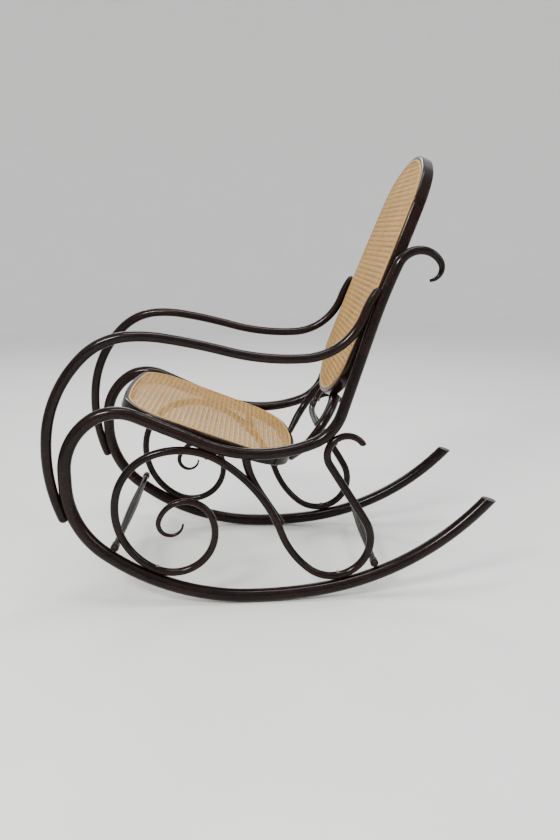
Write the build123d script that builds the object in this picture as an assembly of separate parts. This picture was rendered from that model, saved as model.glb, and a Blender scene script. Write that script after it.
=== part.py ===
from build123d import *
import math
import os

# A bentwood rocking chair with caned seat and back. Millimetres and degrees, +Z up.
# The chair faces -X. "Left" is the sitter's left, at -Y, and each right-hand piece mirrors
# its left-hand twin. It is drawn with x = 0 above the middle of the rockers' curve, then
# moved so that the origin is on the floor under the middle of its whole length.

# --- Stance -------------------------------------------------------------------------
HALF_SPACING = 250.0  # from the middle of the chair to a side frame, at x = 0
SPLAY = 3.0  # each side frame turns in towards the back
MIDDLE_X = 73.6  # where the middle of the whole length is, as drawn

# --- Bends: (radius, turn) for an arc, (length, 0) for a straight run ----------------
# A positive turn is anticlockwise, seen with the chair facing left.
FRONT_POINT = (-411.0, 340.0)  # the foremost point of the front loop
RUNNER_BENDS = [(31.5, 0), (218, 51.5), (560, 37.15), (1090, 8.75), (680, 41.6)]
UPPER_BENDS = [(144, -58), (102, -56), (165, 0), (335, 45.5), (111, 50.5),
               (205, 0), (1340, -6.5), (55, -121.5), (27, -122)]
ARM_START = (-421.0, 230.0)
ARM_HEADING = 110.9
ARM_BENDS = [(410, -28.4), (295, -39), (162, -40.5), (340, -12.5), (1335, -6), (570, 18.5),
             (152, 67), (205, -15)]
SCROLL_START = (-146.0, 206.0)
SCROLL_HEADING = -92.0
SCROLL_BENDS = [(29, -195.5), (66, -140.5), (99, -141.5), (166, -71.5), (137, -61), (179, -52),
                (361, -36.5), (219, 31.5), (91, 158), (720, 3), (134, 0), (46, -182)]
BRACE_START = (4.0, 366.0)
BRACE_HEADING = -87.0
BRACE_BENDS = [(150, 24), (400, 6.5), (84, 0)]
BRACE_INWARD = 13.5  # its centre line is this far inside the side frame's plane

# --- Rod diameters at the ends of those bends ----------------------------------------
RUNNER_D = [31, 31, 32, 32, 32, 32]
UPPER_D = [31, 31, 29, 27, 27, 27, 26, 24, 16, 7]
ARM_D = [23, 25, 25, 24, 23, 22, 22, 22, 21]
SCROLL_D = [5, 13, 17, 19, 19, 19, 19, 18, 18, 20, 20, 19, 15]
BRACE_D = [22, 18, 15, 12]

# The oblique cut that ends each runner: a point on it, and its slope.
RUNNER_CUT_POINT = (590.0, 245.5)
RUNNER_CUT_SLOPE = -16.0
# The slanted cut that ends the rear curl of the base scroll.
CURL_CUT = 25.0

# --- Seat ---------------------------------------------------------------------------
SEAT_RISE = 387.0  # height of the seat plane at x = 0
SEAT_SLOPE = 20.7  # it drops towards the back
SEAT_FRONT = -314.0
SEAT_REAR = 138.0
SEAT_HALVES = (243.0, 230.0)  # front and rear half-widths, where the corners would be
SEAT_BOWS = (20.0, 7.0, 42.0)  # how far the front, sides and rear swell
SEAT_CORNERS = (108.0, 112.0)  # front and rear corner radii
SEAT_DEPTH = 27.0

# --- Back ---------------------------------------------------------------------------
BACK_FOOT_X = 10.0  # where the back plane meets the floor
BACK_RAKE = 21.45  # from the vertical
BACK_BOTTOM = 500.0  # along the rake
BACK_TOP = 1131.0
BACK_HALVES = (205.0, 199.0)  # half-widths at the bottom and top corners
BACK_BOWS = (16.0, 20.0, 72.0)  # how far the bottom, sides and top swell
BACK_CORNERS = (70.0, 118.0)  # bottom and top corner radii
BACK_DEPTH = 28.0

# --- Both caned frames ---------------------------------------------------------------
RING_WIDTH = 24.0
RIM_WIDTH = 13.0  # wood left showing outside the cane
RING_ROUND = 5.0
CANE_THICK = 2.0
BINDER_WIDTH = 5.0
BINDER_THICK = 1.2

# --- Back support: bowed legs and a hoop, in a plane that leans back ------------------
SUPPORT_ORIGIN = (216.0, 0.0, 464.0)
LEG_LEAN = 35.0
HOOP_LEAN = 28.0
LEG_START = (-16.0, 110.0)
LEG_HEADING = 60.0
LEG_BENDS = [(22, 0), (88, -105), (57, 0)]
LEG_D = [22, 22, 20, 15]
HOOP_START = (-6.0, 68.0)
HOOP_HEADING = 70.0
HOOP_LEAD = 20.0
HOOP_CORNER = 37.0
HOOP_BOTTOM_BOW = 10.0  # how much of the turn is in the nearly straight bottom
HOOP_D = 14.0

# --- Stretchers ----------------------------------------------------------------------
FRONT_STRETCHER = (-306.0, 155.0)  # where its axis meets the side frame's plane
REAR_STRETCHER = (313.0, 92.0)
STRETCHER_MID_D = 23.0
STRETCHER_NECK_D = 15.0
STRETCHER_END_D = 20.0
STRETCHER_END_LENGTH = 24.0
STRETCHER_END_TAPER = 6.0  # length over which each neck opens out to its end
STRETCHER_PROUD = 8.0  # how far its end stands outside the side frame's plane

# --- Fasteners -----------------------------------------------------------------------
HEAD_D = 9.0
HEAD_RISE = 2.4
SHANK_D = 4.5
SHANK_LENGTH = 24.0
BOLT_LENGTH = 30.0
BOLT_HEAD_INSIDE = 36.0  # from the side frame's plane to under a bolt's head
# Screws in the side frame's plane: the point under the head, and the driving direction.
ARM_SCREWS = [(-433.5, 247.0, 22.0), (279.5, 723.5, -18.0)]
SCROLL_SCREWS = [(-88.9, 364.6, 69.6), (-209.4, 103.0, -115.5), (224.1, 70.4, -73.0),
                 (215.2, 391.3, 131.2)]
# Screws through a brace: a point on its centre line, and the driving direction.
BRACE_SCREWS = [((60.0, 13.5, 239.5), (-0.48, -0.82, -0.32)),
                ((5.6, 13.5, 345.0), (0.0, -0.6, 0.8))]
BRACE_SCREW_LENGTH = 18.0
BRACE_SCREW_SUNK = 1.0  # how far its head is let into the brace
# Bolts across the chair: distance along the side frame, and height.
SEAT_BOLTS = [(-190.0, 443.0), (-30.0, 380.0)]
BACK_BOLTS = [(277.0, 620.0), (327.0, 759.0)]

SIDE_PLANE = Plane(origin=(0, 0, 0), x_dir=(1, 0, 0), z_dir=(0, -1, 0))


def walk(start, heading, bends):
    """The stations (a, b, heading) at the ends of each bend, in a plane's own coordinates."""
    a, b = start
    stations = [(a, b, heading)]
    for size, turn in bends:
        if turn == 0:
            a += size * math.cos(math.radians(heading))
            b += size * math.sin(math.radians(heading))
        else:
            side = math.copysign(size, turn)
            before, heading = math.radians(heading), heading + turn
            after = math.radians(heading)
            a += side * (math.sin(after) - math.sin(before))
            b += side * (math.cos(before) - math.cos(after))
        stations.append((a, b, heading))
    return stations


def backwards(start, heading, bends):
    """The same line walked from its far end: its start, heading and bends."""
    a, b, last = walk(start, heading, bends)[-1]
    return (a, b), last + 180, [(size, -turn) for size, turn in reversed(bends)]


def rod(plane, start, heading, bends, diameters):
    """A round rod along tangent bends, with its diameter given at each station."""
    stations = walk(start, heading, bends)

    def place(a, b):
        return plane.from_local_coords((a, b, 0))

    def section(a, b, turned, diameter):
        ahead = place(a + math.cos(math.radians(turned)), b + math.sin(math.radians(turned)))
        across = Plane(origin=place(a, b), x_dir=plane.z_dir, z_dir=ahead - place(a, b))
        return across * Circle(diameter / 2)

    spans = []
    for i, (size, turn) in enumerate(bends):
        near, far = stations[i], stations[i + 1]
        if turn == 0:
            edge = Edge.make_line(place(*near[:2]), place(*far[:2]))
        else:
            halfway = walk(near[:2], near[2], [(size, turn / 2)])[-1]
            edge = Edge.make_three_point_arc(place(*near[:2]), place(*halfway[:2]), place(*far[:2]))
        ends = [section(*near, diameters[i]), section(*far, diameters[i + 1])]
        if diameters[i] == diameters[i + 1]:
            spans.append(sweep(ends[0], path=edge))
        else:
            spans.append(sweep(ends, path=edge, multisection=True))
    return spans[0].fuse(*spans[1:])


def rounded_end(plane, start, heading, bends, diameter, last=False):
    """A half-ball cap for one end of such a rod."""
    a, b, _ = walk(start, heading, bends)[-1 if last else 0]
    return Pos(plane.from_local_coords((a, b, 0))) * Sphere(diameter / 2)


def screw(length):
    """A round-head wood screw along -Z, with the underside of its head at the origin."""
    ball = (HEAD_D ** 2 / 4 + HEAD_RISE ** 2) / (2 * HEAD_RISE)
    dome = Pos(0, 0, HEAD_RISE - ball) * Sphere(ball)
    head = dome & (Pos(0, 0, HEAD_RISE / 2) * Cylinder(HEAD_D / 2, HEAD_RISE))
    shank = Pos(0, 0, -length / 2) * Cylinder(SHANK_D / 2, length)
    seat = Pos(0, 0, -HEAD_RISE / 2) * Cylinder(HEAD_D / 2, HEAD_RISE)
    return head + shank + seat


def side_screw(a, b, direction, length=SHANK_LENGTH):
    """A screw driven in the side frame's plane."""
    drive = math.radians(direction)
    inward = (math.cos(drive), 0, math.sin(drive))
    return Plane(origin=(a, 0, b), z_dir=tuple(-v for v in inward)) * screw(length)


def cross_screw(x, y, z, towards, length):
    """A screw driven along Y, towards +1 or -1."""
    return Plane(origin=(x, y, z), z_dir=(0, -towards, 0)) * screw(length)


def brace_screw(centre, direction):
    """A screw driven through a brace, its head let into the brace's round side."""
    drive = Vector(*direction).normalized()
    under_head = Vector(*centre) - drive * (BRACE_D[2] / 2 - BRACE_SCREW_SUNK)
    return Plane(origin=under_head, z_dir=-drive) * screw(BRACE_SCREW_LENGTH)


def cut(piece, tools):
    """The piece less every tool."""
    for tool in tools:
        piece = piece - tool
    return piece


def block_above(size):
    """A cube that stands on the origin."""
    return Pos(0, 0, size / 2) * Box(size, size, size)


def side_frame():
    """Runner, front loop, seat rail, back post and scroll hook: one bent rod."""
    start, heading, bends = backwards(FRONT_POINT, -90, RUNNER_BENDS)
    diameters = list(reversed(RUNNER_D)) + UPPER_D[1:]
    frame = rod(SIDE_PLANE, start, heading, bends + UPPER_BENDS, diameters)
    x, z = RUNNER_CUT_POINT
    return frame - Pos(x, 0, z) * Rot(0, -RUNNER_CUT_SLOPE, 0) * block_above(200.0)


def base_scroll():
    """Spiral, diagonal, rear U bend and outward curl: one bent rod."""
    scroll = rod(SIDE_PLANE, SCROLL_START, SCROLL_HEADING, SCROLL_BENDS, SCROLL_D)
    x, z, heading = walk(SCROLL_START, SCROLL_HEADING, SCROLL_BENDS)[-1]
    end = Plane(origin=(x, 0, z), x_dir=(0, 1, 0),
                z_dir=(math.cos(math.radians(heading)), 0, math.sin(math.radians(heading))))
    return scroll - end * Rot(CURL_CUT, 0, 0) * block_above(60.0)


def armrest():
    """Bent rod from the front loop over to the back post."""
    line = (SIDE_PLANE, ARM_START, ARM_HEADING, ARM_BENDS)
    ends = rounded_end(*line, ARM_D[0]) + rounded_end(*line, ARM_D[-1], last=True)
    return rod(*line, ARM_D) + ends


def seat_brace():
    """Short tapered rod from under the seat down onto the inner side of the base scroll."""
    line = (SIDE_PLANE.offset(-BRACE_INWARD), BRACE_START, BRACE_HEADING, BRACE_BENDS)
    return rod(*line, BRACE_D) + rounded_end(*line, BRACE_D[-1], last=True)


def seat_plane():
    slope = math.radians(SEAT_SLOPE)
    return Plane(origin=(0, 0, SEAT_RISE), x_dir=(math.cos(slope), 0, -math.sin(slope)),
                 z_dir=(math.sin(slope), 0, math.cos(slope)))


def back_plane():
    rake = math.radians(BACK_RAKE)
    return Plane(origin=(BACK_FOOT_X, 0, 0), x_dir=(math.sin(rake), 0, math.cos(rake)),
                 z_dir=(-math.cos(rake), 0, math.sin(rake)))


def outline(near, far, halves, bows, corners, drawn_in=0.0):
    """A rounded four-sided face, its ends at a = near and far, drawn in by an amount all round.

    halves: half-widths at the near and far corners. bows: of the near end, sides and far end.
    corners: fillet radii at the near and far corners.
    """
    near_bow, side_bow, far_bow = bows
    first, last = Vector(near + near_bow, halves[0]), Vector(far - far_bow, halves[1])
    along = (last - first).normalized()

    def disc(middle, chord, bow, outward):
        radius = (chord ** 2 / 4 + bow ** 2) / (2 * bow)
        return Pos(middle + outward * (bow - radius)) * Circle(radius - drawn_in)

    face = disc(Vector(first.X, 0), 2 * first.Y, near_bow, Vector(-1, 0))
    face = face & disc(Vector(last.X, 0), 2 * last.Y, far_bow, Vector(1, 0))
    for side in (1, -1):
        middle = (first + last) / 2
        face = face & disc(Vector(middle.X, side * middle.Y), (last - first).length, side_bow,
                           Vector(-along.Y, side * along.X))
    for ends, corner in ((slice(0, 2), corners[0]), (slice(-2, None), corners[1])):
        face = fillet(face.vertices().sort_by(Axis.X)[ends], corner - drawn_in)
    return face


def seat_outline(drawn_in=0.0):
    return outline(SEAT_FRONT, SEAT_REAR, SEAT_HALVES, SEAT_BOWS, SEAT_CORNERS, drawn_in)


def back_outline(drawn_in=0.0):
    return outline(BACK_BOTTOM, BACK_TOP, BACK_HALVES, BACK_BOWS, BACK_CORNERS, drawn_in)


def slab(face, low, high):
    """The face made solid between two heights above its plane."""
    return Pos(0, 0, low) * extrude(face, amount=high - low, dir=(0, 0, 1))


def caned_frame(plane, shape, depth):
    """A ring with a rebate for its cane, the cane panel, and the binder over the panel's edge."""
    body = slab(shape(), -depth, 0)
    layers = body.edges().group_by(Axis.Z)
    body = fillet(layers[0] + layers[-1], RING_ROUND)
    ring = body - slab(shape(RING_WIDTH), -depth - 1, 1)
    panel = slab(shape(RIM_WIDTH), -CANE_THICK, 0)
    binder = slab(shape(RIM_WIDTH - BINDER_WIDTH / 2), 0, BINDER_THICK)
    binder = binder - slab(shape(RIM_WIDTH + BINDER_WIDTH / 2), -1, BINDER_THICK + 1)
    return plane * (ring - panel), plane * panel, plane * binder


def support_plane(degrees):
    lean = math.radians(degrees)
    return Plane(origin=SUPPORT_ORIGIN, x_dir=(-math.sin(lean), 0, -math.cos(lean)),
                 z_dir=(math.cos(lean), 0, -math.sin(lean)))


def back_leg():
    """Bowed rod from the bottom of the back frame to the rear of the seat frame, right side."""
    line = (support_plane(LEG_LEAN), LEG_START, LEG_HEADING, LEG_BENDS)
    return rod(*line, LEG_D) + rounded_end(*line, LEG_D[-1], last=True)


def back_hoop():
    """Wide U-shaped rod that hangs from the back frame between its legs."""
    corner = -(HOOP_HEADING + 90 - HOOP_BOTTOM_BOW / 2)
    lead_in = [(HOOP_LEAD, 0), (HOOP_CORNER, corner)]
    half = walk(HOOP_START, HOOP_HEADING, lead_in)[-1][1]
    bottom = (half / math.sin(math.radians(HOOP_BOTTOM_BOW / 2)), -HOOP_BOTTOM_BOW)
    bends = lead_in + [bottom] + lead_in[::-1]
    diameters = [HOOP_D] * (len(bends) + 1)
    return rod(support_plane(HOOP_LEAN), HOOP_START, HOOP_HEADING, bends, diameters)


def on_left(piece):
    """Stands a piece made in the X-Z plane up as part of the left side frame."""
    return Pos(0, -HALF_SPACING, 0) * Rot(0, 0, SPLAY) * piece


def other_side(piece):
    return mirror(piece, Plane.XZ)


def side_point(along, height):
    """Where a point of the left side frame's plane is in the chair."""
    turn = math.radians(SPLAY)
    return along * math.cos(turn), along * math.sin(turn) - HALF_SPACING, height


def stretcher(along, height):
    """Turned rod across the chair: swollen middle, slim necks and straight ends."""
    x, y, z = side_point(along, height)
    end = -y + STRETCHER_PROUD
    neck = end - STRETCHER_END_LENGTH
    end_r, neck_r, mid_r = STRETCHER_END_D / 2, STRETCHER_NECK_D / 2, STRETCHER_MID_D / 2
    swell = Spline((neck_r, -neck), (mid_r, 0), (neck_r, neck), tangents=((0, 1), (0, 1)))
    full = neck + STRETCHER_END_TAPER
    profile = Polyline((neck_r, neck), (end_r, full), (end_r, end), (0, end), (0, -end),
                       (end_r, -end), (end_r, -full), (neck_r, -neck))
    turned = revolve(make_face(Plane.XZ * (swell + profile)), Axis.Z)
    return Pos(x, 0, z) * Rot(90, 0, 0) * turned


def across_bolts(places):
    """Bolts from inside the chair out through the left side frame."""
    bolts = []
    for along, height in places:
        x, y, z = side_point(along, height)
        bolts.append(cross_screw(x, y + BOLT_HEAD_INSIDE, z, -1, BOLT_LENGTH))
    return bolts


def both(pieces):
    """The pieces and their mirror images."""
    return pieces + [other_side(piece) for piece in pieces]


def left_side(screws):
    """The left side's four rods in place, each cut to fit those before it and its screws."""
    frame = side_frame()
    scroll = base_scroll() - frame
    arm = armrest() - frame
    brace = cut(seat_brace(), [frame, scroll])
    rods = {"side_frame": frame, "base_scroll": scroll, "armrest": arm, "seat_brace": brace}
    return {name: on_left(cut(piece, screws)) for name, piece in rods.items()}


def build():
    """Every node's shape by name."""
    screws = {"arm_screws": [side_screw(*s) for s in ARM_SCREWS],
              "scroll_screws": [side_screw(*s) for s in SCROLL_SCREWS],
              "brace_screws": [brace_screw(*s) for s in BRACE_SCREWS]}
    left = left_side([s for group in screws.values() for s in group])
    groups = {name: [on_left(s) for s in group] for name, group in screws.items()}
    groups["seat_bolts"] = across_bolts(SEAT_BOLTS)
    groups["back_bolts"] = across_bolts(BACK_BOLTS)

    seat_ring, seat_cane, seat_binder = caned_frame(seat_plane(), seat_outline, SEAT_DEPTH)
    back_ring, back_cane, back_binder = caned_frame(back_plane(), back_outline, BACK_DEPTH)
    left["seat_brace"] = left["seat_brace"] - seat_ring
    near_rings = both([left["side_frame"]])
    near_rings += both(groups["seat_bolts"] + groups["back_bolts"] + groups["brace_screws"])
    leg = cut(back_leg(), [back_ring, seat_ring])

    nodes = {"seat_frame": cut(seat_ring, near_rings),
             "back_frame": cut(back_ring, near_rings),
             "seat_cane": seat_cane, "seat_cane_binder": seat_binder,
             "back_cane": back_cane, "back_cane_binder": back_binder,
             "right_back_leg": leg, "left_back_leg": other_side(leg),
             "back_hoop": back_hoop() - back_ring}

    left["side_frame"] = cut(left["side_frame"], groups["seat_bolts"] + groups["back_bolts"])
    groups["stretcher_screws"] = []
    for name, place in (("front_stretcher", FRONT_STRETCHER), ("rear_stretcher", REAR_STRETCHER)):
        x, y, z = side_point(*place)
        end_screw = cross_screw(x, y - STRETCHER_PROUD, z, 1, SHANK_LENGTH)
        groups["stretcher_screws"].append(end_screw)
        near = both([left["side_frame"], left["base_scroll"], end_screw])
        nodes[name] = cut(stretcher(*place), near)

    for name, piece in left.items():
        nodes["left_" + name] = piece
        nodes["right_" + name] = other_side(piece)
    for name, group in groups.items():
        nodes[name] = Compound(children=both(group))
    return nodes


os.makedirs("parts", exist_ok=True)
for node, shape in build().items():
    export_step(Pos(-MIDDLE_X, 0, 0) * shape, f"parts/{node}.step")
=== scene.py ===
import bpy
import math
import random
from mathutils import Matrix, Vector


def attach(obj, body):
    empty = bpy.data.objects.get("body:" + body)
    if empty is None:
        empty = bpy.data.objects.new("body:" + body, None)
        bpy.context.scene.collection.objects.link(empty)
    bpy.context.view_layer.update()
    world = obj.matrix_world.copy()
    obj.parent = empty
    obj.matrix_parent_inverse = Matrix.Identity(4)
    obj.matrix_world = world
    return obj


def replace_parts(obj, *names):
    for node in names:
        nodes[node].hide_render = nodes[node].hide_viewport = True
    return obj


# A bentwood rocking chair: dark lacquered rods round a seat and a back of woven cane.
# Metres, in the frame's own axes: the chair faces -X.

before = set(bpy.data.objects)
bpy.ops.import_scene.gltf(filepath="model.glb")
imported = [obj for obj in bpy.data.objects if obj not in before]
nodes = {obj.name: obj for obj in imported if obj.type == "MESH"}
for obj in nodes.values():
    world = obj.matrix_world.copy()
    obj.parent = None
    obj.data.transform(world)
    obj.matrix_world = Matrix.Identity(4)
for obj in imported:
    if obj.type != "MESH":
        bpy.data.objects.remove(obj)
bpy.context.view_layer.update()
SEED = 7
draw = random.Random(SEED)

MM = 0.001
PITCH = 12.7 * MM        # from one pair of strands to the next
PAIR = 0.135             # half the gap between a pair's middles, as a part of the pitch
STRAND_WIDTH = 2.1 * MM
DIAGONAL_WIDTH = 2.6 * MM
STRAND_THICK = 0.6 * MM
STRAIGHT_LIFT = 0.35 * MM
DIAGONAL_LIFT = 0.7 * MM
WEAVE_DEPTH = 1.0 * MM   # the weave's middle lies this far under the top of the rim
BINDER_WIDTH = 5.0 * MM
BINDER_RISE = 1.5 * MM
TIE_WIDTH = 1.8 * MM
TIE_THICK = 0.5 * MM
TIE_REACH = 0.62         # how far a tie reaches each way, as a part of the binder's width
TIE_SUNK = 0.3 * MM      # how far a tie's ends dip into the rim
BINDER_STEP = 6 * MM     # the longest step round the binder
TOP_BAND = 0.2 * MM      # vertices this near a panel's highest ones are its top face
SHORTEST_CHORD = 2 * MM  # shorter strands are left out
END_ROOM = MM            # no stop lies nearer than this to a strand's end
TINY = 1e-12
SHARP_EDGE = 60          # degrees

CAMERA_PLACE = (-0.0482, -1.9176, 0.8696)
CAMERA_DROP = 13.97      # degrees below the horizontal
CAMERA_SWING = -1.97     # degrees from looking along +Y
CAMERA_LENS = 32.14
CAMERA_SENSOR = 36.0

WOOD_DARK = (0.0022, 0.0012, 0.0010)
WOOD_LIGHT = (0.012, 0.0048, 0.0034)
WOOD_CLOUD = (0.017, 0.0058, 0.0040, 1)
CANE_LIGHT = (0.58, 0.350, 0.100)
CANE_DARK = (0.31, 0.165, 0.042)
# painted shade: the deep brown that low places in the weave and strand undersides darken towards
CANE_PAINTED_SHADE = (0.13, 0.062, 0.022, 1)
CANE_FIBRE = (0.27, 0.145, 0.042, 1)
CANE_AGED = (0.38, 0.215, 0.065, 1)
CANE_SPOT = (0.16, 0.085, 0.035, 1)


# --- Materials ----------------------------------------------------------------------
class Shader:
    """A material and its node tree. Numbers that don't vary go straight on the shader."""

    def __init__(self, name, **constants):
        self.material = bpy.data.materials.new(name)
        self.material.use_nodes = True
        self.tree = self.material.node_tree
        self.bsdf = self.tree.nodes["Principled BSDF"]
        for socket, value in constants.items():
            self.bsdf.inputs[socket.replace("_", " ")].default_value = value

    def add(self, kind, inputs=(), **settings):
        node = self.tree.nodes.new(kind)
        for name, value in settings.items():
            setattr(node, name, value)
        for socket, value in dict(inputs).items():
            if isinstance(value, bpy.types.NodeSocket):
                self.tree.links.new(value, node.inputs[socket])
            else:
                node.inputs[socket].default_value = value
        return node

    def place(self, scale, source="Object"):
        """Object or UV coordinates, stretched."""
        where = self.add("ShaderNodeTexCoord").outputs[source]
        return self.add("ShaderNodeMapping", {"Vector": where, "Scale": scale}).outputs["Vector"]

    def noise(self, vector, scale, detail=6.0, roughness=0.55):
        inputs = {"Vector": vector, "Scale": scale, "Detail": detail, "Roughness": roughness}
        return self.add("ShaderNodeTexNoise", inputs).outputs["Fac"]

    def ramp(self, value, low, high, start=0.3, end=0.7):
        """Runs from the low colour to the high one as value goes from start to end."""
        node = self.add("ShaderNodeValToRGB", {"Fac": value})
        node.color_ramp.elements[0].position = start
        node.color_ramp.elements[1].position = end
        node.color_ramp.elements[0].color = (*low, 1)
        node.color_ramp.elements[1].color = (*high, 1)
        return node.outputs["Color"]

    def mix(self, factor, first, second, blend="MIX"):
        node = self.add("ShaderNodeMix", data_type="RGBA", blend_type=blend)
        for socket, value in ((0, factor), (6, first), (7, second)):
            if isinstance(value, bpy.types.NodeSocket):
                self.tree.links.new(value, node.inputs[socket])
            else:
                node.inputs[socket].default_value = value
        return node.outputs[2]

    def span(self, value, low, high, start=0.0, end=1.0):
        inputs = {"Value": value, "From Min": start, "From Max": end, "To Min": low, "To Max": high}
        return self.add("ShaderNodeMapRange", inputs).outputs["Result"]

    def bump(self, height, depth, below=None):
        inputs = {"Height": height, "Strength": 1.0, "Distance": depth}
        if below is not None:
            inputs["Normal"] = below
        return self.add("ShaderNodeBump", inputs).outputs["Normal"]

    def finish(self, colour, roughness, normal):
        self.tree.links.new(colour, self.bsdf.inputs["Base Color"])
        self.tree.links.new(roughness, self.bsdf.inputs["Roughness"])
        self.tree.links.new(normal, self.bsdf.inputs["Normal"])
        return self.material


def lacquered_wood(name, grain):
    """Nearly black stained beech under gloss lacquer. grain: how the streaks stretch."""
    wood = Shader(name, Coat_Weight=0.14, Coat_Roughness=0.06, IOR=1.5, Specular_IOR_Level=0.1)
    streak = wood.noise(wood.place(grain), 1.0, 9.0, 0.62)
    cloud = wood.noise(wood.place((1, 1, 1)), 7.0, 3.0)
    rubbed = wood.noise(wood.place((1, 1, 1)), 38.0, 5.0, 0.7)
    colour = wood.ramp(streak, WOOD_DARK, WOOD_LIGHT, 0.34, 0.74)
    colour = wood.mix(wood.span(cloud, 0.0, 0.5, 0.45, 0.7), colour, WOOD_CLOUD)
    roughness = wood.span(rubbed, 0.13, 0.24, 0.3, 0.75)
    ripple = wood.bump(cloud, 0.25 * MM)
    pores = wood.bump(wood.noise(wood.place(grain), 6.0, 4.0), 0.012 * MM, ripple)
    return wood.finish(colour, roughness, pores)


def cane(name):
    """Split cane: shiny tan skin with fibres along each strand, aged unevenly, with painted shade
    where the weave lies low.
    """
    skin = Shader(name, Coat_Weight=0.05, Coat_Roughness=0.3, IOR=1.45, Specular_IOR_Level=0.2)
    fibre = skin.noise(skin.place((2600, 60, 1), "UV"), 1.0, 5.0, 0.6)
    shade = skin.add("ShaderNodeAttribute", attribute_name="shade").outputs["Fac"]
    age = skin.noise(skin.place((1, 1, 1)), 14.0, 5.0, 0.6)
    spot = skin.noise(skin.place((1, 1, 1)), 160.0, 3.0, 0.6)
    # depth carries painted shade: 1.0 on strand undersides, higher the lower a strand's top lies in
    # the weave
    depth = skin.add("ShaderNodeAttribute", attribute_name="depth").outputs["Fac"]
    colour = skin.ramp(shade, CANE_DARK, CANE_LIGHT, 0.0, 0.55)
    # painted shade: mixes towards the deep brown as depth rises
    colour = skin.mix(skin.span(depth, 0.0, 0.85, 0.15, 1.0), colour, CANE_PAINTED_SHADE)
    colour = skin.mix(skin.span(fibre, 0.0, 0.45, 0.42, 0.7), colour, CANE_FIBRE)
    colour = skin.mix(skin.span(age, 0.0, 0.5, 0.45, 0.72), colour, CANE_AGED)
    colour = skin.mix(skin.span(spot, 0.0, 0.7, 0.62, 0.78), colour, CANE_SPOT)
    roughness = skin.span(age, 0.38, 0.60, 0.3, 0.7)
    return skin.finish(colour, roughness, skin.bump(fibre, 0.08 * MM))


def screw_metal(name, dark, light):
    """Tarnished steel, from the dark colour to the light one."""
    steel = Shader(name, Metallic=1.0)
    tarnish = steel.noise(steel.place((1, 1, 1)), 420.0, 5.0, 0.6)
    colour = steel.ramp(tarnish, dark, light, 0.35, 0.7)
    roughness = steel.span(tarnish, 0.28, 0.5, 0.3, 0.7)
    return steel.finish(colour, roughness, steel.bump(tarnish, 0.03 * MM))


# --- Cane weave ---------------------------------------------------------------------
class Panel:
    """The plane and convex outline of a cane panel, from its CAD node's top face."""

    def __init__(self, node):
        mesh = nodes[node].data
        self.up = max(mesh.polygons, key=lambda p: p.area).normal.copy()
        if self.up.z < 0:
            self.up = -self.up
        self.across = Vector((0, 1, 0))
        self.ahead = self.across.cross(self.up)
        places = [nodes[node].matrix_world @ v.co for v in mesh.vertices]
        self.height = max(p.dot(self.up) for p in places)
        top = [p for p in places if self.height - p.dot(self.up) < TOP_BAND]
        self.outline = hull([(p.dot(self.across), p.dot(self.ahead)) for p in top])

    def at(self, a, b, lift):
        """The point at a across and b ahead, lift above the panel's top."""
        return self.across * a + self.ahead * b + self.up * (self.height + lift)

    def chord(self, point, direction):
        """Where a line through the point enters and leaves the outline, or None."""
        low, high = -math.inf, math.inf
        corners = self.outline
        for (a, b), (c, d) in zip(corners, corners[1:] + corners[:1]):
            normal = (d - b, a - c)
            speed = direction[0] * normal[0] + direction[1] * normal[1]
            gap = (a - point[0]) * normal[0] + (b - point[1]) * normal[1]
            if abs(speed) < TINY:
                if gap < 0:
                    return None
            elif speed > 0:
                high = min(high, gap / speed)
            else:
                low = max(low, gap / speed)
        return (low, high) if high - low > SHORTEST_CHORD else None


def hull(points):
    """The convex hull of flat points, anticlockwise."""
    points = sorted(set(points))

    def half(run):
        line = []
        for p in run:
            while len(line) > 1 and turn(line[-2], line[-1], p) <= TINY:
                line.pop()
            line.append(p)
        return line[:-1]

    return half(points) + half(reversed(points))


def turn(a, b, c):
    """Positive where a, b, c turn anticlockwise."""
    return (b[0] - a[0]) * (c[1] - a[1]) - (b[1] - a[1]) * (c[0] - a[0])


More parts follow.
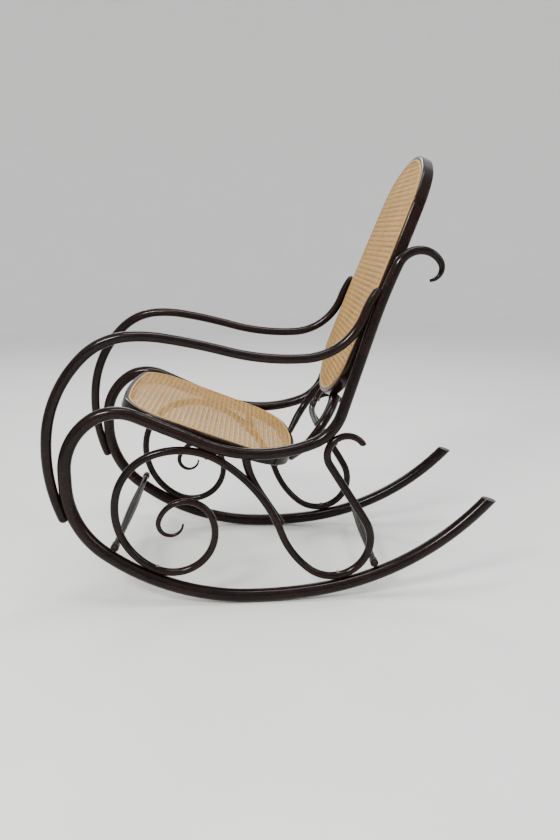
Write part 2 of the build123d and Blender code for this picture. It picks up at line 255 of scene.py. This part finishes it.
class Ribbons:
    """Gathers crowned strips of cane into one mesh."""

    def __init__(self):
        self.points, self.faces, self.shades, self.uvs, self.painted_shade_depths = [], [], [], [], []

    def strip(self, line, sides, ups, width, thick, painted_shade_depth, closed=False):
        """A strip along a line of points, with the side and up directions and the painted-shade
        depth at each.
        """
        shade = draw.random()
        first = len(self.points)
        profile = ((-0.5, -0.5), (-0.30, 0.5), (0.30, 0.5), (0.5, -0.5))
        along = 0.0
        rows = []
        for i, point in enumerate(line):
            along += (point - line[i - 1]).length if i else draw.random()
            rows.append(along)
            for a, b in profile:
                self.points.append(point + sides[i] * (a * width) + ups[i] * (b * thick))
                # painted shade: the top takes the given depth, the underside the full painted shade
                self.painted_shade_depths.append(painted_shade_depth[i] if b > 0 else 1.0)
        count = len(line)
        for i in range(count if closed else count - 1):
            j = (i + 1) % count
            for k in range(4):
                m = (k + 1) % 4
                self.faces.append([first + 4 * i + k, first + 4 * i + m,
                                   first + 4 * j + m, first + 4 * j + k])
                self.shades.append(shade)
                u, v = profile[k][0] * width, profile[m][0] * width
                far = rows[j] if j else rows[-1] + PITCH / 2
                self.uvs += [(u, rows[i]), (v, rows[i]), (v, far), (u, far)]
        if not closed:
            for end in (0, count - 1):
                ring = [first + 4 * end + k for k in range(4)]
                self.faces.append(ring if end else ring[::-1])
                self.shades.append(shade)
                self.uvs += [(a * width, rows[end]) for a, b in profile]

    def piece(self, name, material, slot):
        mesh = bpy.data.meshes.new(name)
        mesh.from_pydata(self.points, [], self.faces)
        mesh.attributes.new("shade", "FLOAT", "FACE").data.foreach_set("value", self.shades)
        # depth is the painted shade that the cane material darkens by
        mesh.attributes.new("depth", "FLOAT", "POINT").data.foreach_set("value", self.painted_shade_depths)
        layer = mesh.uv_layers.new(name="strand")
        layer.data.foreach_set("uv", [c for uv in self.uvs for c in uv])
        mesh.polygons.foreach_set("use_smooth", [True] * len(self.faces))
        mesh.set_sharp_from_angle(angle=math.radians(SHARP_EDGE))
        mesh.materials.append(material)
        piece = bpy.data.objects.new(name, mesh)
        bpy.context.scene.collection.objects.link(piece)
        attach(piece, "root")
        return piece


def weave_line(ribbons, panel, point, direction, stops, width):
    """One strand: stops gives its (distance, lift) along the line through the point."""
    reach = panel.chord(point, direction)
    if reach is None:
        return
    inside = [s for s in stops(*reach) if reach[0] + END_ROOM < s[0] < reach[1] - END_ROOM]
    if len(inside) < 2:
        return
    whole = [(reach[0], 0.0)] + inside + [(reach[1], 0.0)]
    line = [panel.at(point[0] + direction[0] * s, point[1] + direction[1] * s, lift - WEAVE_DEPTH)
            for s, lift in whole]
    side = (panel.at(-direction[1], direction[0], 0) - panel.at(0, 0, 0)).normalized()
    count = len(line)
    # painted shade: a strand's top is darker the lower it dips in the weave
    painted_shade_depth = [0.5 - 0.5 * lift / DIAGONAL_LIFT for s, lift in whole]
    ribbons.strip(line, [side] * count, [panel.up] * count, width, STRAND_THICK, painted_shade_depth)


def straight_stops(sign):
    """Over and under the crossing pairs, and level where the diagonals pass."""
    def stops(low, high):
        first = math.floor(low / PITCH)
        last = math.ceil(high / PITCH)
        for i in range(first, last + 1):
            centre = i * PITCH
            yield centre - PAIR * PITCH, sign * STRAIGHT_LIFT
            yield centre + PAIR * PITCH, -sign * STRAIGHT_LIFT
            yield centre + PITCH / 2, 0.0
    return stops


def diagonal_stops(sign):
    """Under one set of pairs and over the other by turns."""
    step = PITCH * math.sqrt(2)

    def stops(low, high):
        first = math.floor(low / step)
        last = math.ceil(high / step)
        for i in range(first, last + 1):
            for part, way in ((-PAIR, -1), (PAIR, -1), (0.5 - PAIR, 1), (0.5 + PAIR, 1)):
                yield (i + part) * step, sign * way * DIAGONAL_LIFT
    return stops


def woven_panel(node, material):
    """Pairs both ways and both diagonals, in place of the plain CAD panel."""
    panel = Panel(node)
    a_values = [a for a, b in panel.outline]
    b_values = [b for a, b in panel.outline]
    middle = (min(b_values) + max(b_values)) / 2
    half = max(max(a_values), (max(b_values) - min(b_values)) / 2)
    count = math.ceil(half / PITCH) + 1
    straight, diagonal = Ribbons(), Ribbons()
    for i in range(-count, count + 1):
        for sign in (-1, 1):
            offset = (i + sign * PAIR) * PITCH
            weave_line(straight, panel, (offset, middle), (0.0, 1.0),
                       straight_stops(sign), STRAND_WIDTH)
            weave_line(straight, panel, (0.0, middle + offset), (1.0, 0.0),
                       straight_stops(-sign), STRAND_WIDTH)
    root = math.sqrt(0.5)
    for i in range(-2 * count, 2 * count):
        for sign in (-1, 1):
            start = (0.0, middle + (i + 0.5) * PITCH)
            weave_line(diagonal, panel, start, (root, sign * root),
                       diagonal_stops(sign), DIAGONAL_WIDTH)
    name = node.replace("cane", "weave")
    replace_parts(straight.piece(name + "_pairs", material, node), node)
    diagonal.piece(name + "_diagonals", material, node)
    return panel


def bound_edge(node, panel, material):
    """The binder strip round a panel, and the ties that hold it down."""
    corners = [Vector(p) for p in panel.outline]
    loop = []
    for here, there in zip(corners, corners[1:] + corners[:1]):
        parts = max(1, round((there - here).length / BINDER_STEP))
        loop += [here.lerp(there, k / parts) for k in range(parts)]
    count = len(loop)
    outs = []
    for i in range(count):
        run = (loop[(i + 1) % count] - loop[i - 1]).normalized()
        outs.append(Vector((run.y, -run.x)))
    sides = [panel.across * o.x + panel.ahead * o.y for o in outs]
    binder = Ribbons()
    centre = BINDER_RISE / 2
    # painted shade: the binder's and ties' tops get none, their undersides the full amount
    binder.strip([panel.at(p.x, p.y, centre) for p in loop], [-s for s in sides],
                 [panel.up] * count, BINDER_WIDTH, BINDER_RISE, [0.0] * count, closed=True)
    walked = 0.0
    for i in range(count):
        walked += (loop[i] - loop[i - 1]).length
        if walked < PITCH:
            continue
        walked -= PITCH
        middle = panel.at(loop[i].x, loop[i].y, 0)
        line, ups = [], []
        for part in (-1.0, -0.8, -0.4, 0.0, 0.4, 0.8, 1.0):
            lift = (BINDER_RISE + TIE_THICK / 2) * (1 - part ** 4) - TIE_SUNK * part ** 4
            line.append(middle + sides[i] * (part * TIE_REACH * BINDER_WIDTH) + panel.up * lift)
            ups.append(panel.up)
        across = panel.up.cross(sides[i])
        binder.strip(line, [across] * len(line), ups, TIE_WIDTH, TIE_THICK, [0.0] * len(line))
    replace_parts(binder.piece(node.replace("cane_binder", "edge_binder"), material, node), node)


# --- Camera, floor and light --------------------------------------------------------
def camera():
    lens = bpy.data.cameras.new("camera")
    lens.sensor_fit = "VERTICAL"
    lens.sensor_height = CAMERA_SENSOR
    lens.lens = CAMERA_LENS
    cam = bpy.data.objects.new("camera", lens)
    cam.location = CAMERA_PLACE
    cam.rotation_euler = (math.radians(90 - CAMERA_DROP), 0, math.radians(CAMERA_SWING))
    bpy.context.scene.collection.objects.link(cam)
    bpy.context.scene.camera = cam


def floor():
    """A pale floor that rises into a backdrop far away on all sides."""
    middle, flat, curve, top, sides, bends = 0.5, 5.0, 2.5, 5.0, 96, 16
    profile = [(middle, 0.0), (flat, 0.0)]
    for i in range(1, bends + 1):
        angle = math.radians(90 * i / bends)
        profile.append((flat + curve * math.sin(angle), curve * (1 - math.cos(angle))))
    profile.append((flat + curve, top))
    points = [(r * math.cos(2 * math.pi * k / sides), r * math.sin(2 * math.pi * k / sides), z)
              for r, z in profile for k in range(sides)]
    faces = [list(range(sides))]
    for i in range(len(profile) - 1):
        for k in range(sides):
            m = (k + 1) % sides
            faces.append([i * sides + k, (i + 1) * sides + k, (i + 1) * sides + m, i * sides + m])
    mesh = bpy.data.meshes.new("floor")
    mesh.from_pydata(points, [], faces)
    mesh.polygons.foreach_set("use_smooth", [True] * len(faces))
    pale = Shader("pale_floor", Specular_IOR_Level=0.2)
    tone = pale.noise(pale.place((1, 1, 1)), 3.0, 2.0)
    colour = pale.ramp(tone, (0.78, 0.775, 0.75), (0.81, 0.805, 0.78), 0.3, 0.7)
    roughness = pale.span(tone, 0.55, 0.65)
    mesh.materials.append(pale.finish(colour, roughness, pale.bump(tone, 0.01 * MM)))
    piece = bpy.data.objects.new("floor", mesh)
    bpy.context.scene.collection.objects.link(piece)


def light(name, place, target, size, power, colour=(1, 1, 1)):
    lamp = bpy.data.lights.new(name, "AREA")
    lamp.shape = "RECTANGLE"
    lamp.size, lamp.size_y = size
    lamp.energy = power
    lamp.color = colour
    piece = bpy.data.objects.new(name, lamp)
    piece.location = place
    piece.rotation_euler = (Vector(target) - Vector(place)).to_track_quat("-Z", "Y").to_euler()
    bpy.context.scene.collection.objects.link(piece)


def studio():
    world = bpy.data.worlds.new("studio")
    bpy.context.scene.world = world
    world.use_nodes = True
    world.node_tree.nodes["Background"].inputs["Color"].default_value = (0.93, 0.95, 1.0, 1)
    world.node_tree.nodes["Background"].inputs["Strength"].default_value = 1.0
    middle = (0.0, 0.0, 0.55)
    light("key", (-1.5, -2.6, 2.6), middle, (0.9, 0.45), 110, (1.0, 0.985, 0.97))
    light("top", (0.2, -0.3, 3.2), middle, (2.6, 0.4), 70)
    light("fill", (2.6, -1.2, 1.9), middle, (0.5, 1.4), 22, (0.95, 0.97, 1.0))
    light("rim", (-0.6, 3.0, 2.4), middle, (1.8, 0.4), 40)


camera()
floor()
studio()

rod_wood = lacquered_wood("lacquered_beech_rods", (24, 140, 60))
ring_wood = lacquered_wood("lacquered_beech_rings", (90, 18, 60))
turned_wood = lacquered_wood("lacquered_beech_turned", (130, 10, 130))
seat_skin = cane("seat_cane_skin")
back_skin = cane("back_cane_skin")
steel = screw_metal("screw_steel", (0.10, 0.085, 0.07), (0.34, 0.30, 0.25))
black_steel = screw_metal("blackened_screw_steel", (0.012, 0.010, 0.009), (0.05, 0.042, 0.036))


def finish_of(node):
    if node == "stretcher_screws":
        return black_steel
    if "screws" in node or "bolts" in node:
        return steel
    if "stretcher" in node:
        return turned_wood
    if node in ("seat_frame", "back_frame"):
        return ring_wood
    return rod_wood


for name, piece in nodes.items():
    if "cane" in name:
        continue
    if not piece.material_slots:
        piece.data.materials.append(None)
    for part in piece.material_slots:
        part.material = finish_of(name)

for part, skin in (("seat", seat_skin), ("back", back_skin)):
    flat = woven_panel(part + "_cane", skin)
    bound_edge(part + "_cane_binder", flat, skin)
